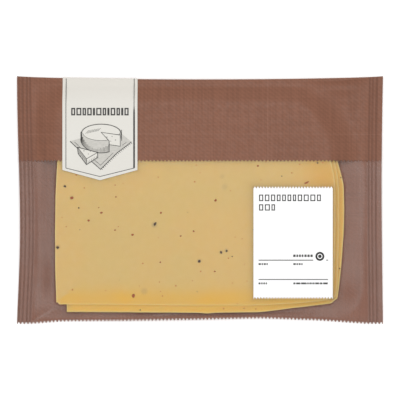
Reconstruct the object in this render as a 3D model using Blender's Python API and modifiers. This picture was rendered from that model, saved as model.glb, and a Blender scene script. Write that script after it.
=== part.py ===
"""A sealed pack of sliced cheese, lying on its back.

+X runs along the pack's long side, +Y towards its folded top edge, and +Z out of
its front. The origin is on the surface that the pack lies on, under its middle.
All sizes are in metres.
"""

import math

import bmesh
import bpy
import numpy as np

# The pack, measured flat
PACK_WIDTH = 0.230
PACK_HEIGHT = 0.1556
SEAL_WIDTH = 0.0094  # each crimped side seal
SEAM_WIDTH = 0.0020  # the welded strip along the pinked bottom edge
SEAL_THICKNESS = 0.0006

# How far the filling pulls the middle of each edge in, and where along it
LEFT_PULL, LEFT_PEAK = 0.0020, 0.40
RIGHT_PULL, RIGHT_PEAK = 0.0009, 0.55
BOTTOM_PULL, BOTTOM_PEAK = 0.0033, 0.62
TOP_PULL, TOP_PEAK = 0.0025, 0.50

# The stack of slices, and the film over it. The lower slices lie askew, and
# stick out as a ledge below the upper ones and to their right.
SLICE_THICKNESS = 0.0018
SLICE_COUNT = 5
LEDGE_COUNT = 3
FILM_THICKNESS = 0.0001
STACK_LEFT, STACK_RIGHT = -0.0906, 0.0846
STACK_BOTTOM, STACK_TOP = -0.0659, 0.0580
STACK_HEIGHT = SLICE_COUNT * SLICE_THICKNESS + FILM_THICKNESS
LEDGE_LEFT, LEDGE_RIGHT = -0.0836, 0.0896
LEDGE_BOTTOM, LEDGE_TOP = -0.0704, 0.0530
LEDGE_HEIGHT = LEDGE_COUNT * SLICE_THICKNESS + FILM_THICKNESS
DRAPE = 1.4  # above 1, the film hangs slack between the stack and the seals

# The fold at the pack's top edge, which opens between the side seals
FOLD_RADIUS = 0.0013
FOLD_OPENING = 0.0150  # how far in from a side seal it takes to open fully

# The rim stands off the table, least at the corners
RIM_LOW = 0.0010
SIDE_LIFT = 0.0016
END_LIFT = 0.0014

# Three grooves pressed along each side seal
GROOVE_COUNT = 3
GROOVE_PITCH = 0.0026
GROOVE_START = 0.0024  # plain strip outside the first groove
GROOVE_DEPTH = 0.00022

# Pinked edges
TOOTH_PITCH = 0.0023
TOOTH_DEPTH = 0.0007
LABEL_TOOTH_PITCH = 0.00185
LABEL_TOOTH_DEPTH = 0.00065

# The brown band folded over the top of the front
BAND_BOTTOM = 0.0242
BAND_THICKNESS = 0.0002

# The pennant label, which hangs from the top edge
RIBBON_LEFT, RIBBON_RIGHT = -0.0862, -0.0392
RIBBON_SHOULDER = 0.0189
RIBBON_TIP = 0.0124
RIBBON_THICKNESS = 0.0002

# The price label
PRICE_LEFT, PRICE_BOTTOM = 0.0335, -0.0619
PRICE_WIDTH, PRICE_HEIGHT = 0.0500, 0.0700
PRICE_THICKNESS = 0.0002

CLEARANCE = 0.0003  # between pieces that lie on each other
BAND_LIFT = CLEARANCE  # of each sheet's underside off the bag
RIBBON_LIFT = BAND_LIFT + BAND_THICKNESS + CLEARANCE
BAG_TOP = PACK_HEIGHT / 2 - BAND_LIFT - BAND_THICKNESS
BAG_BOTTOM = -PACK_HEIGHT / 2
TALL = 0.05  # a cutter's height, more than the pack's
SPARE = 0.0020  # left beyond a pinked line, for its cutter to take off
WELD_DISTANCE = 1e-6

BROWN = (0.250, 0.117, 0.080, 1)
IVORY = (0.780, 0.760, 0.700, 1)
WHITE = (0.920, 0.920, 0.920, 1)


def clear_scene():
    for thing in list(bpy.data.objects):
        bpy.data.objects.remove(thing)


def new_collection(name, hidden=False):
    collection = bpy.data.collections.new(name)
    collection.hide_render = hidden
    bpy.context.scene.collection.children.link(collection)
    return collection


def plain_material(name, colour, roughness):
    material = bpy.data.materials.new(name)
    material.use_nodes = True
    shader = material.node_tree.nodes["Principled BSDF"]
    shader.inputs["Base Color"].default_value = colour
    shader.inputs["Roughness"].default_value = roughness
    shader.inputs["Metallic"].default_value = 0.0
    return material


def fade(value, full, none):
    """1 at full and before it, 0 at none and past it, and smooth between."""
    share = min(max((value - none) / (full - none), 0.0), 1.0)
    return share * share * (3 - 2 * share)


def pulled(share, peak):
    """How much of its pull an edge shows at this share of its length."""
    share = min(max(share, 0.0), 1.0)
    return math.sin(math.pi * share ** (math.log(0.5) / math.log(peak)))


def plan(x, y):
    """Where a point of the flat pack lies once the filling has pulled the edges in."""
    along_x = x / PACK_WIDTH + 0.5
    along_y = y / PACK_HEIGHT + 0.5
    seal = PACK_WIDTH / 2 - SEAL_WIDTH
    left = LEFT_PULL * pulled(along_y, LEFT_PEAK) * fade(x, -seal, STACK_LEFT)
    right = RIGHT_PULL * pulled(along_y, RIGHT_PEAK) * fade(x, seal, STACK_RIGHT)
    bottom = BOTTOM_PULL * pulled(along_x, BOTTOM_PEAK) * fade(y, BAG_BOTTOM, STACK_BOTTOM)
    top = TOP_PULL * pulled(along_x, TOP_PEAK) ** 0.6 * fade(y, BAG_TOP, STACK_TOP)
    return x + left - right, y + bottom - top


def slack(x, y, left, right, bottom, top):
    """0 over this block of slices, 1 on the seals, and in proportion between them."""
    outside = math.hypot(max(left - x, x - right, 0.0), max(bottom - y, y - top, 0.0))
    inside = min(PACK_WIDTH / 2 - SEAL_WIDTH - abs(x), y - BAG_BOTTOM - SEAM_WIDTH, BAG_TOP - y)
    if outside == 0.0:
        return 0.0
    return outside / (outside + max(inside, 0.0))


def rim_height(x, y):
    """The height of the sheets' meeting line nearest this point."""
    to_side = (2 * abs(x) / PACK_WIDTH) ** 4
    to_end = (2 * abs(y) / PACK_HEIGHT) ** 4
    side = SIDE_LIFT * math.cos(math.pi * y / PACK_HEIGHT)
    end = END_LIFT * math.cos(math.pi * x / PACK_WIDTH)
    return RIM_LOW + (side * to_side + end * to_end) / max(to_side + to_end, 1e-9)


def crimp(x):
    """The pressed wave of the side seals, which both sheets follow."""
    inward = PACK_WIDTH / 2 - abs(x) - GROOVE_START
    if not 0 < inward < GROOVE_COUNT * GROOVE_PITCH:
        return 0.0
    return -GROOVE_DEPTH * math.sin(math.pi * inward / GROOVE_PITCH) ** 2


def fold_radius(x, y):
    """Half the rim's thickness: that of a weld, opening to the fold's along the top edge."""
    seal = PACK_WIDTH / 2 - SEAL_WIDTH
    opening = fade(abs(x), seal - FOLD_OPENING, seal) * fade(y, BAG_TOP, STACK_TOP)
    return SEAL_THICKNESS / 2 + (FOLD_RADIUS - SEAL_THICKNESS / 2) * opening


def round_the_fold(x, y):
    """The sine of the angle that the sheet has turned through at the top edge, from 0 to 1."""
    radius = fold_radius(x, y)
    return min(max((y - BAG_TOP) / radius + 1, 0.0), 1.0)


def front_point(x, y, lift=0.0):
    """A point of the front sheet, or of one that lies over it at this lift."""
    turned = round_the_fold(x, y)
    upright = math.sqrt(1 - turned * turned)
    rim = rim_height(x, y) + fold_radius(x, y) * upright
    off_stack = slack(x, y, STACK_LEFT, STACK_RIGHT, STACK_BOTTOM, STACK_TOP)
    off_ledge = slack(x, y, LEDGE_LEFT, LEDGE_RIGHT, LEDGE_BOTTOM, LEDGE_TOP)
    stack = (STACK_HEIGHT - rim) * (1 - off_stack) ** DRAPE
    ledge = (LEDGE_HEIGHT - rim) * (1 - off_ledge) ** DRAPE
    height = rim + max(stack, ledge) + crimp(x)
    moved_x, moved_y = plan(x, y)
    return moved_x, moved_y + lift * turned, height + lift * upright


def back_point(x, y):
    turned = round_the_fold(x, y)
    rim = rim_height(x, y) - fold_radius(x, y) * math.sqrt(1 - turned * turned)
    off_foot = slack(x, y, STACK_LEFT, LEDGE_RIGHT, LEDGE_BOTTOM, STACK_TOP)
    return *plan(x, y), rim * off_foot**2 + crimp(x)


def stations(*stops):
    """Grid lines: (place, steps from the place before) for each stop, evenly spaced in between."""
    lines = [stops[0][0]]
    for (start, _), (end, steps) in zip(stops, stops[1:]):
        lines.extend(start + (end - start) * step / steps for step in range(1, steps + 1))
    return lines


def fold_rows():
    """Grid lines from the stack over the fold, closing up where the sheet turns."""
    outer = [BAG_TOP - FOLD_RADIUS * share for share in (1.7, 0.9, 0.5, 0.22, 0.06, 0.0)]
    return stations((STACK_TOP, 0), (outer[0], 6), *((y, 1) for y in outer[1:]))


def columns():
    """The pack's grid lines across: close together in the seals, wide apart on the stack."""
    edge = PACK_WIDTH / 2
    grooves = edge - GROOVE_START
    inner = grooves - GROOVE_COUNT * GROOVE_PITCH
    return stations(
        (-edge, 0),
        (-grooves, 1),
        (-inner, 4 * GROOVE_COUNT),
        (STACK_LEFT, 5),
        (STACK_RIGHT, 10),
        (LEDGE_RIGHT, 3),
        (inner, 5),
        (grooves, 4 * GROOVE_COUNT),
        (edge, 1),
    )


def grid_mesh(across, up):
    """A flat grid with its lines at the given places."""
    mesh = bmesh.new()
    bmesh.ops.create_grid(mesh, x_segments=len(across) - 1, y_segments=len(up) - 1, size=0.5)
    for vertex in mesh.verts:
        x = np.interp(vertex.co.x + 0.5, np.linspace(0, 1, len(across)), across)
        y = np.interp(vertex.co.y + 0.5, np.linspace(0, 1, len(up)), up)
        vertex.co = (x, y, 0)
    return mesh


def finish(mesh, name, material, collection):
    bmesh.ops.recalc_face_normals(mesh, faces=mesh.faces[:])
    data = bpy.data.meshes.new(name)
    mesh.to_mesh(data)
    mesh.free()
    data.materials.append(material)
    data.shade_smooth()
    data.set_sharp_from_angle(angle=math.radians(30))
    thing = bpy.data.objects.new(name, data)
    collection.objects.link(thing)
    return thing


def pinked_line(start, end, pitch, depth, height_at):
    """Points of a zigzag from start to end. Its outer points lie on height_at, its inner ones depth above."""
    teeth = round((end - start) / pitch)
    line = []
    for half in range(2 * teeth + 1):
        x = start + (end - start) * half / (2 * teeth)
        line.append((x, height_at(x) + depth * (half % 2)))
    return line


def flat_piece(name, outline, thickness, collection):
    """A closed outline of straight runs, filled and given its thickness about z = 0."""
    curve = bpy.data.curves.new(name, "CURVE")
    curve.dimensions = "2D"
    curve.fill_mode = "BOTH"
    curve.extrude = thickness / 2
    spline = curve.splines.new("POLY")
    spline.points.add(len(outline) - 1)
    for point, (x, y) in zip(spline.points, outline):
        point.co = (x, y, 0, 1)
    spline.use_cyclic_u = True
    thing = bpy.data.objects.new(name, curve)
    collection.objects.link(thing)
    return thing


def as_mesh(thing):
    """Replaces a curve object by a closed mesh of the same name and place."""
    bpy.context.view_layer.update()
    shape = thing.evaluated_get(bpy.context.evaluated_depsgraph_get())
    data = bpy.data.meshes.new_from_object(shape)
    mesh = bmesh.new()
    mesh.from_mesh(data)
    bmesh.ops.remove_doubles(mesh, verts=mesh.verts[:], dist=WELD_DISTANCE)
    bmesh.ops.recalc_face_normals(mesh, faces=mesh.faces[:])
    mesh.to_mesh(data)
    mesh.free()
    name, place, holder = thing.name, thing.matrix_world.copy(), thing.users_collection[0]
    bpy.data.objects.remove(thing)
    made = bpy.data.objects.new(name, data)
    made.matrix_world = place
    holder.objects.link(made)
    return made


def pinking_cutter(name, height_at, cutters):
    """Everything below a pinked line that runs the pack's whole width."""
    beyond = PACK_WIDTH / 2 + TOOTH_PITCH
    line = pinked_line(-beyond, beyond, TOOTH_PITCH, TOOTH_DEPTH, height_at)
    depth = min(y for _, y in line) - 0.02
    outline = line + [(beyond, depth), (-beyond, depth)]
    cutter = as_mesh(flat_piece(name, outline, TALL, cutters))
    cutter.hide_render = True
    cutter.display_type = "WIRE"
    return cutter


def cut(thing, cutter):
    modifier = thing.modifiers.new("pinking", "BOOLEAN")
    modifier.operation = "DIFFERENCE"
    modifier.solver = "EXACT"
    modifier.object = cutter


def make_bag(material, collection, cutters):
    """The sealed bag with its slices, as one solid out to its film."""
    up = stations((BAG_BOTTOM, 0), (LEDGE_BOTTOM, 4), (STACK_BOTTOM, 2), (STACK_TOP, 6))
    up += fold_rows()[1:]
    mesh = grid_mesh(columns(), up)
    grown = bmesh.ops.extrude_face_region(mesh, geom=mesh.faces[:])["geom"]
    front = {part for part in grown if isinstance(part, bmesh.types.BMVert)}
    for vertex in mesh.verts:
        x, y = vertex.co.x, vertex.co.y
        point = front_point(x, y) if vertex in front else back_point(x, y)
        vertex.co = point
        if y < BAG_BOTTOM + WELD_DISTANCE:
            vertex.co.y -= SPARE
    bmesh.ops.remove_doubles(mesh, verts=mesh.verts[:], dist=WELD_DISTANCE)
    bag = finish(mesh, "sealed_bag", material, collection)
    cut(bag, pinking_cutter("bottom_pinking", lambda x: plan(x, BAG_BOTTOM)[1], cutters))
    return bag


def draped_sheet(name, mesh, thickness, material, collection):
    """Gives a sheet laid over the front of the bag its thickness, upwards."""
    thing = finish(mesh, name, material, collection)
    solid = thing.modifiers.new("thickness", "SOLIDIFY")
    solid.thickness = thickness
    solid.offset = 1
    return thing


def make_band(material, collection, cutters):
    """The brown band folded over the top of the front, pinked along its lower edge."""
    up = stations((BAND_BOTTOM - SPARE, 0), (STACK_TOP, 3)) + fold_rows()[1:]
    mesh = grid_mesh(columns(), up)
    for vertex in mesh.verts:
        vertex.co = front_point(vertex.co.x, vertex.co.y, BAND_LIFT)
    band = draped_sheet("top_band", mesh, BAND_THICKNESS, material, collection)
    cut(band, pinking_cutter("band_pinking", lambda x: BAND_BOTTOM, cutters))
    return band


def make_ribbon(material, collection):
    """The pennant label: a strip down from the top edge that ends in a blunt point."""
    middle = (RIBBON_LEFT + RIBBON_RIGHT) / 2
    half = (RIBBON_RIGHT - RIBBON_LEFT) / 2
    across = stations((RIBBON_LEFT, 0), (middle, 4), (RIBBON_RIGHT, 4))
    up = stations((RIBBON_SHOULDER, 0), (STACK_TOP, 5)) + fold_rows()[1:]
    mesh = grid_mesh(across, up)
    for vertex in mesh.verts:
        x, y = vertex.co.x, vertex.co.y
        drop = (RIBBON_SHOULDER - RIBBON_TIP) * (1 - abs(x - middle) / half)
        _, laid_y, height = front_point(x, y, RIBBON_LIFT)
        vertex.co = (x, laid_y - drop * fade(y, RIBBON_SHOULDER, STACK_TOP), height)
    return draped_sheet("ribbon_label", mesh, RIBBON_THICKNESS, material, collection)


def make_price_label(material, collection):
    """The price label, pinked along its top and bottom, flat on the stack."""
    right, top = PRICE_LEFT + PRICE_WIDTH, PRICE_BOTTOM + PRICE_HEIGHT
    size = (LABEL_TOOTH_PITCH, LABEL_TOOTH_DEPTH)
    lower = pinked_line(PRICE_LEFT, right, *size, lambda x: PRICE_BOTTOM)
    upper = pinked_line(PRICE_LEFT, right, *size, lambda x: top - LABEL_TOOTH_DEPTH)
    label = flat_piece("price_label", lower + upper[::-1], PRICE_THICKNESS, collection)
    label.location.z = STACK_HEIGHT + CLEARANCE + PRICE_THICKNESS / 2
    label.data.materials.append(material)
    return label


def main():
    clear_scene()
    pack = new_collection("pack_of_sliced_cheese")
    cutters = new_collection("cutters", hidden=True)
    film = plain_material("brown_film", BROWN, 0.35)
    band = plain_material("brown_band", BROWN, 0.50)
    ribbon = plain_material("ribbon_paper", IVORY, 0.60)
    price = plain_material("price_paper", WHITE, 0.50)
    make_bag(film, pack, cutters)
    make_band(band, pack, cutters)
    make_ribbon(ribbon, pack)
    make_price_label(price, pack)


main()
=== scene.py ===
import math
import random

import bmesh
import bpy
import numpy as np
from mathutils import Matrix, Vector, noise


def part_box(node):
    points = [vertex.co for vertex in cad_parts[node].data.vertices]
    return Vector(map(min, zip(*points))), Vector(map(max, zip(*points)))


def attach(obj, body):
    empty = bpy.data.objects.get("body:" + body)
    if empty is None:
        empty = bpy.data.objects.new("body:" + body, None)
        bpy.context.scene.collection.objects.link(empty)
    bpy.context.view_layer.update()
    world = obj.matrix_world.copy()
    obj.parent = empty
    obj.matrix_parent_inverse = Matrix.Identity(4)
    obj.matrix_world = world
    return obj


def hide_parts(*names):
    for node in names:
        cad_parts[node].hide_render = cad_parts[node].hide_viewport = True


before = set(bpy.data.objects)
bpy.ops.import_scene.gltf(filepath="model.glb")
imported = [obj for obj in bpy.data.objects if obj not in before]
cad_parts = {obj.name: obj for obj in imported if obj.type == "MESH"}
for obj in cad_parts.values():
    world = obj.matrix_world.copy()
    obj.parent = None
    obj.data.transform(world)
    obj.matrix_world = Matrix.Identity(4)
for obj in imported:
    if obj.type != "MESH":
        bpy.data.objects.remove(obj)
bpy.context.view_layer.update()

mm = 0.001
bagLow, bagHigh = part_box("sealed_bag")
bandLow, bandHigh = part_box("top_band")
ribbonLow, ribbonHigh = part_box("ribbon_label")
priceLow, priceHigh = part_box("price_label")
halfWidth = (bagHigh.x - bagLow.x) / 2
ribbonMiddle, ribbonHalf = (ribbonLow.x + ribbonHigh.x) / 2, (ribbonHigh.x - ribbonLow.x) / 2
print("frame loaded, pack is", round(2000 * halfWidth), "mm wide")


# small helpers

def linear(red, green, blue, alpha=1.0):
    channels = []
    for level in (red, green, blue):
        share = level / 255
        channels.append(share / 12.92 if share <= 0.04045 else ((share + 0.055) / 1.055) ** 2.4)
    return (*channels, alpha)


def eased(value, full, none):  # 1 at full, 0 at none, smooth between
    share = np.clip((np.asarray(value, float) - none) / (full - none), 0, 1)
    return share * share * (3 - 2 * share)


def evenly(start, end, step):  # places from just after start to end
    count = max(1, round(abs(end - start) / step))
    return [start + (end - start) * k / count for k in range(1, count + 1)]


def placed(name, mesh, material):
    mesh.materials.append(material)
    mesh.shade_smooth()
    piece = bpy.data.objects.new(name, mesh)
    bpy.context.scene.collection.objects.link(piece)
    return piece


def meshPiece(name, points, faces, material, floats=None):
    mesh = bpy.data.meshes.new(name)
    mesh.from_pydata([tuple(map(float, p)) for p in points], [], faces)
    for label, values in (floats or {}).items():
        layer = mesh.attributes.new(label, "FLOAT", "POINT")
        layer.data.foreach_set("value", np.asarray(values, np.float32))
    return placed(name, mesh, material)


def applied(piece, sharpAngle):  # bakes the modifiers in and keeps hard edges hard
    bpy.context.view_layer.update()
    shape = piece.evaluated_get(bpy.context.evaluated_depsgraph_get())
    mesh = bpy.data.meshes.new_from_object(shape)
    piece.modifiers.clear()
    piece.data = mesh
    mesh.shade_smooth()
    mesh.set_sharp_from_angle(angle=math.radians(sharpAngle))
    return piece


def evened(values, axis):  # one round of smoothing with the neighbours on both sides
    return (np.roll(values, 1, axis) + 2 * values + np.roll(values, -1, axis)) / 4


def gridFaces(across, up):
    return [
        (r * across + c, r * across + c + 1, (r + 1) * across + c + 1, (r + 1) * across + c)
        for r in range(up - 1)
        for c in range(across - 1)
    ]


# the bag's shape: how the edges pull in, the welds and the fold

bag = {
    "sealWidth": 9.4 * mm,
    "seamWidth": 2.0 * mm,
    # how far each edge is drawn in, where along it most of all, and how far into the bag that reaches
    "leftPull": 1.9 * mm, "leftPeak": 0.40, "leftSharpness": 1.8,
    "rightPull": 0.9 * mm, "rightPeak": 0.55,
    "topPull": 2.1 * mm, "topPeak": 0.50, "topSharpness": 0.6,
    "sideReach": 24 * mm, "bottomReach": 12 * mm, "topReach": 20 * mm,
    # how far the lower edge stands in: across from the middle and inwards, in mm
    "bottomPull": [
        (-115, 0), (-104, 0.5), (-88, 2.0), (-50, 2.2), (0, 3.0), (38, 3.9), (76, 2.5), (102, 0.6), (115, 0),
    ],
    "bottomSmoothing": 30,
    "topOver": 0.2 * mm,      # the fold past the top of its solid
    "foldRadius": 1.3 * mm, "foldOpening": 15 * mm,
    "weldHalf": 0.3 * mm,     # half the fold's height where the welds close it
    "rimLow": 1.0 * mm, "sideLift": 1.6 * mm, "endLift": 1.4 * mm,
    # the grooves pressed into each weld, from its outer edge inwards
    "leftGrooves": [1.0 * mm, 3.4 * mm, 6.0 * mm, 8.2 * mm],
    "rightGrooves": [3.7 * mm, 6.1 * mm, 8.2 * mm],
    "grooveHalf": 0.95 * mm, "grooveDepth": 0.24 * mm,
    # the welds' darker tone, and painted shade in their grooves
    "weldShade": 0.16, "grooveShade": 0.84,
    # pinking: how many teeth, how deep, how far past the edge, and the flat tip's share of a tooth
    "teeth": 100, "toothDepth": 1.25 * mm, "toothOut": 0.15 * mm, "toothTip": 0.22,
}
toothPitch = 2 * halfWidth / bag["teeth"]
weldTeeth = math.ceil(bag["sealWidth"] / toothPitch)
rowSlack = 0.1 * mm  # what still counts as a sheet's edge row
bottomY, topY = bagLow.y, bagHigh.y + bag["topOver"]
sealInner = halfWidth - bag["sealWidth"]


def bow(share, peak):  # 0 at both ends of an edge and 1 at its peak
    share = np.clip(share, 1e-6, 1)
    return np.sin(np.pi * share ** (math.log(0.5) / math.log(peak)))


def bottomRise(x):
    across = np.linspace(-halfWidth, halfWidth, 231)
    places, rises = np.array(bag["bottomPull"]).T * mm
    rise = np.interp(across, places, rises)
    for _ in range(bag["bottomSmoothing"]):
        rise[1:-1] = (rise[:-2] + 2 * rise[1:-1] + rise[2:]) / 4
    return np.interp(x, across, rise)


def laidOut(x, y):  # flat bag to lying bag
    alongX = x / (2 * halfWidth) + 0.5
    alongY = (y - bottomY) / (topY - bottomY)
    inner = halfWidth - bag["sideReach"]
    left = bag["leftPull"] * bow(alongY, bag["leftPeak"]) ** bag["leftSharpness"]
    left *= eased(x, -sealInner, -inner)
    right = bag["rightPull"] * bow(alongY, bag["rightPeak"]) * eased(x, sealInner, inner)
    bottom = bottomRise(x) * eased(y, bottomY, bottomY + bag["bottomReach"])
    top = bag["topPull"] * bow(alongX, bag["topPeak"]) ** bag["topSharpness"]
    top *= eased(y, topY, topY - bag["topReach"])
    return x + left - right, y + bottom - top


def rimHeight(x, y):  # how high the welds and the ends stand off the table
    toSide = (np.abs(x) / halfWidth) ** 4
    toEnd = (np.abs(y) / topY) ** 4
    side = bag["sideLift"] * np.cos(np.pi * np.clip(y / (2 * topY), -0.5, 0.5))
    end = bag["endLift"] * np.cos(np.pi * x / (2 * halfWidth))
    return bag["rimLow"] + (side * toSide + end * toEnd) / np.maximum(toSide + toEnd, 1e-9)


def foldRadius(x):
    opening = eased(np.abs(x), sealInner - bag["foldOpening"], sealInner)
    return bag["weldHalf"] + (bag["foldRadius"] - bag["weldHalf"]) * opening


def grooved(x):  # 1 at the bottom of a groove, 0 between them
    pressed = np.zeros(np.shape(x))
    for side, places in ((-1, bag["leftGrooves"]), (1, bag["rightGrooves"])):
        for place in places:
            away = np.abs(halfWidth - side * np.asarray(x) - place) / bag["grooveHalf"]
            pressed = np.maximum(pressed, np.cos(np.pi / 2 * np.clip(away, 0, 1)) ** 2)
    return pressed


def crimp(x):
    return -bag["grooveDepth"] * grooved(x)


def pinking(x):  # how far a pinked edge stands back from its points
    phase = ((x + halfWidth) / toothPitch) % 1.0
    tip = bag["toothTip"]
    return bag["toothDepth"] * np.clip((1 - tip - np.abs(2 * phase - 1)) / (1 - 2 * tip), 0, 1)


def pinkedEdge(x, y, laidY):  # moves a sheet's lowest row into teeth
    room = np.clip(laidY - y, 0, 0.35 * bag["toothDepth"])
    return laidY + (pinking(x) - room - bag["toothOut"]) * (y < bottomY + rowSlack)


# the slices

slices = {
    "count": 5,
    "lower": 3,               # how many lie askew below
    "foot": 0.12 * mm,        # the back sheet under them
    "underFilm": 0.07 * mm,   # the film over them
    "gap": 0.02 * mm,
    "rounding": 0.22 * mm,
    "waviness": 0.12 * mm,
    "sag": 0.10 * mm,
    # outlines in mm from the pack's middle: a cut left and lower edge, and the wheel's curved side
    "upperOutline": [
        (-90.1, -64.2), (-88.9, -64.3), (-88.4, -65.4), (-60, -65.5), (0, -66.1), (38, -66.0), (62, -64.6),
        (79.4, -62.9), (83.0, -60.6), (84.2, -50), (84.9, -20), (85.0, 4), (84.4, 14), (82.2, 24), (78.9, 34),
        (74.4, 44), (68.4, 53), (64.6, 57.4), (0, 58.4), (-87.4, 57.6), (-89.5, 24), (-90.6, 3),
        (-90.9, -25), (-90.7, -45),
    ],
    "lowerOutline": [
        (-83.6, -70.4), (-40, -70.6), (1, -70.9), (4.7, -71.5), (7.6, -70.9), (39, -70.4), (58.4, -67.9),
        (79.3, -65.4), (82.4, -64.9), (86.2, -61.8), (87.1, -54), (88.4, -43), (89.9, -23), (90.4, -7),
        (90.1, 9), (88.1, 17), (85.3, 27), (81.2, 37), (76.2, 47), (70, 56), (-82, 56), (-84.0, 0),
    ],
    # each slice's shift from its outline in mm and turn in degrees, lowest first
    "shifts": [(0.3, 0.6), (0, 0), (0.1, 0.3), (2.2, 0.2), (0, 0)],
    "turns": [0.15, 0.0, -0.1, 0.1, 0.0],
    "pointSpacing": 1.5,      # along an outline, in mm
    "sharpCorner": 28,        # a bend from here up stays crisp, in degrees
    # colour towards the rind: where it is deepest, how far it reaches in, how strong on each slice
    "rindPeak": 3.5 * mm, "lowerReach": 6.5 * mm, "rightReach": 12 * mm,
    # the askew slices take more rind colour, partly painted light on their shaded ledge
    "rindStrength": [1.2, 1.2, 1.2, 0.95, 0.85], "crustStrength": 0.45,
    "ledgeReach": 8 * mm,     # how far the askew slices show
    # rings of points on a slice's face, as shares of its outline
    "rings": (0.989, 0.98, 0.967, 0.95, 0.93, 0.90, 0.87, 0.83, 0.78, 0.71, 0.58, 0.42, 0.22),
}
stackTop = bagHigh.z - slices["underFilm"]
sliceThickness = (stackTop - slices["foot"]) / slices["count"] - slices["gap"]


def sliceTop(index):
    return slices["foot"] + (index + 1) * (sliceThickness + slices["gap"])


def sliceOutline(index):
    corners = slices["lowerOutline"] if index < slices["lower"] else slices["upperOutline"]
    shiftX, shiftY = slices["shifts"][index]
    turn = math.radians(slices["turns"][index])
    outline, crisp = [], []
    for k, (x1, y1) in enumerate(corners):
        (x0, y0), (x2, y2) = corners[k - 1], corners[(k + 1) % len(corners)]
        bend = math.atan2(y2 - y1, x2 - x1) - math.atan2(y1 - y0, x1 - x0)
        bend = abs(math.degrees((bend + math.pi) % (2 * math.pi) - math.pi))
        steps = max(1, math.ceil(math.hypot(x2 - x1, y2 - y1) / slices["pointSpacing"]))
        outline += [(x1 + (x2 - x1) * n / steps, y1 + (y2 - y1) * n / steps) for n in range(steps)]
        crisp += [bend > slices["sharpCorner"]] + [False] * (steps - 1)
    outline, crisp = np.array(outline), np.array(crisp)[:, None]
    for _ in range(4):
        outline = np.where(crisp, outline, evened(outline, 0))
    turned = np.column_stack([
        outline[:, 0] * math.cos(turn) - outline[:, 1] * math.sin(turn) + shiftX,
        outline[:, 0] * math.sin(turn) + outline[:, 1] * math.cos(turn) + shiftY,
    ]) * mm
    ripple = [
        slices["waviness"] * noise.noise(Vector((x * 90, y * 90, 3.7 * index))) for x, y in turned
    ]
    return turned + outwards(turned) * np.array(ripple)[:, None]


def outwards(outline):  # unit normals of a loop that runs anticlockwise
    along = np.roll(outline, -1, 0) - np.roll(outline, 1, 0)
    along /= np.linalg.norm(along, axis=1)[:, None]
    return np.column_stack([along[:, 1], -along[:, 0]])


def insideOf(x, y, outline):
    inside = np.zeros(x.shape, bool)
    for (x0, y0), (x1, y1) in zip(outline, np.roll(outline, -1, 0)):
        if y0 != y1:
            crosses = (y0 > y) != (y1 > y)
            inside ^= crosses & (x < (x1 - x0) * (y - y0) / (y1 - y0) + x0)
    return inside


outlines = [sliceOutline(k) for k in range(slices["count"])]


# how the two sheets lie: tight over the slices, slung between them and the welds

drape = {
    "step": 1.0 * mm,
    "rounds": 1400,
    "pull": 0.010 * mm, "backPull": 0.002 * mm,   # the air drawn out of the bag holds the sheets down
    "air": 0.05 * mm,         # between the sheets where they lie together
    "slung": 0.6,             # where the front sheet starts from beside the stack, as a share of the depth
}
gridX = np.arange(-halfWidth, halfWidth + drape["step"], drape["step"])
gridY = np.arange(bottomY, topY + drape["step"], drape["step"])
flatX, flatY = np.meshgrid(gridX, gridY)


def relaxed(height, lowest, held, pull):
    for _ in range(drape["rounds"]):
        mean = (height[:-2, 1:-1] + height[2:, 1:-1] + height[1:-1, :-2] + height[1:-1, 2:]) / 4
        mean = np.maximum(mean - pull, lowest[1:-1, 1:-1])
        height[1:-1, 1:-1] = np.where(held[1:-1, 1:-1], height[1:-1, 1:-1], mean)
    return height


def grown(mask):  # a mask, one step wider
    wide = mask.copy()
    wide[1:] |= mask[:-1]
    wide[:-1] |= mask[1:]
    wide[:, 1:] |= mask[:, :-1]
    wide[:, :-1] |= mask[:, 1:]
    return wide


def readField(field, x, y):
    column = np.clip((np.asarray(x) - gridX[0]) / drape["step"], 0, len(gridX) - 1.001)
    row = np.clip((np.asarray(y) - gridY[0]) / drape["step"], 0, len(gridY) - 1.001)
    c, r = column.astype(int), row.astype(int)
    s, t = column - c, row - r
    lower = field[r, c] * (1 - s) + field[r, c + 1] * s
    upper = field[r + 1, c] * (1 - s) + field[r + 1, c + 1] * s
    return lower * (1 - t) + upper * t


realX, realY = laidOut(flatX, flatY)
rim = rimHeight(flatX, flatY)
welded = (np.abs(flatX) >= sealInner) | (flatY <= bottomY + bag["seamWidth"])
folded = flatY >= topY - foldRadius(flatX)
underSlices = np.zeros(flatX.shape, bool)
for outline in outlines:
    underSlices |= insideOf(realX, realY, outline)
# the back sheet
backField = np.where(welded, rim - drape["air"], np.where(folded, rim - foldRadius(flatX), 0.0))
resting = welded | folded | grown(underSlices)
backField = relaxed(backField, np.zeros(flatX.shape), resting, drape["backPull"])
# the front sheet
bulk = backField + drape["air"]
for k, outline in enumerate(outlines):
    covered = grown(insideOf(realX, realY, outline))
    bulk = np.where(covered, sliceTop(k) + 0.5 * slices["underFilm"], bulk)
frontField = np.maximum(bulk, np.where(underSlices, 0, drape["slung"] * bagHigh.z))
frontField = np.where(welded, rim + drape["air"], np.where(folded, rim + foldRadius(flatX), frontField))
frontField = relaxed(frontField, bulk, welded | folded, drape["pull"])


def softened(field, rounds):  # spreads a field's humps before it rounds them off
    wide = field.copy()
    for _ in range(rounds):
        taller = wide.copy()
        for shift, axis in ((1, 0), (-1, 0), (1, 1), (-1, 1)):
            taller = np.maximum(taller, np.roll(wide, shift, axis))
        wide = taller
    for _ in range(3 * rounds):
        wide = evened(evened(wide, 0), 1)
    return wide


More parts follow.
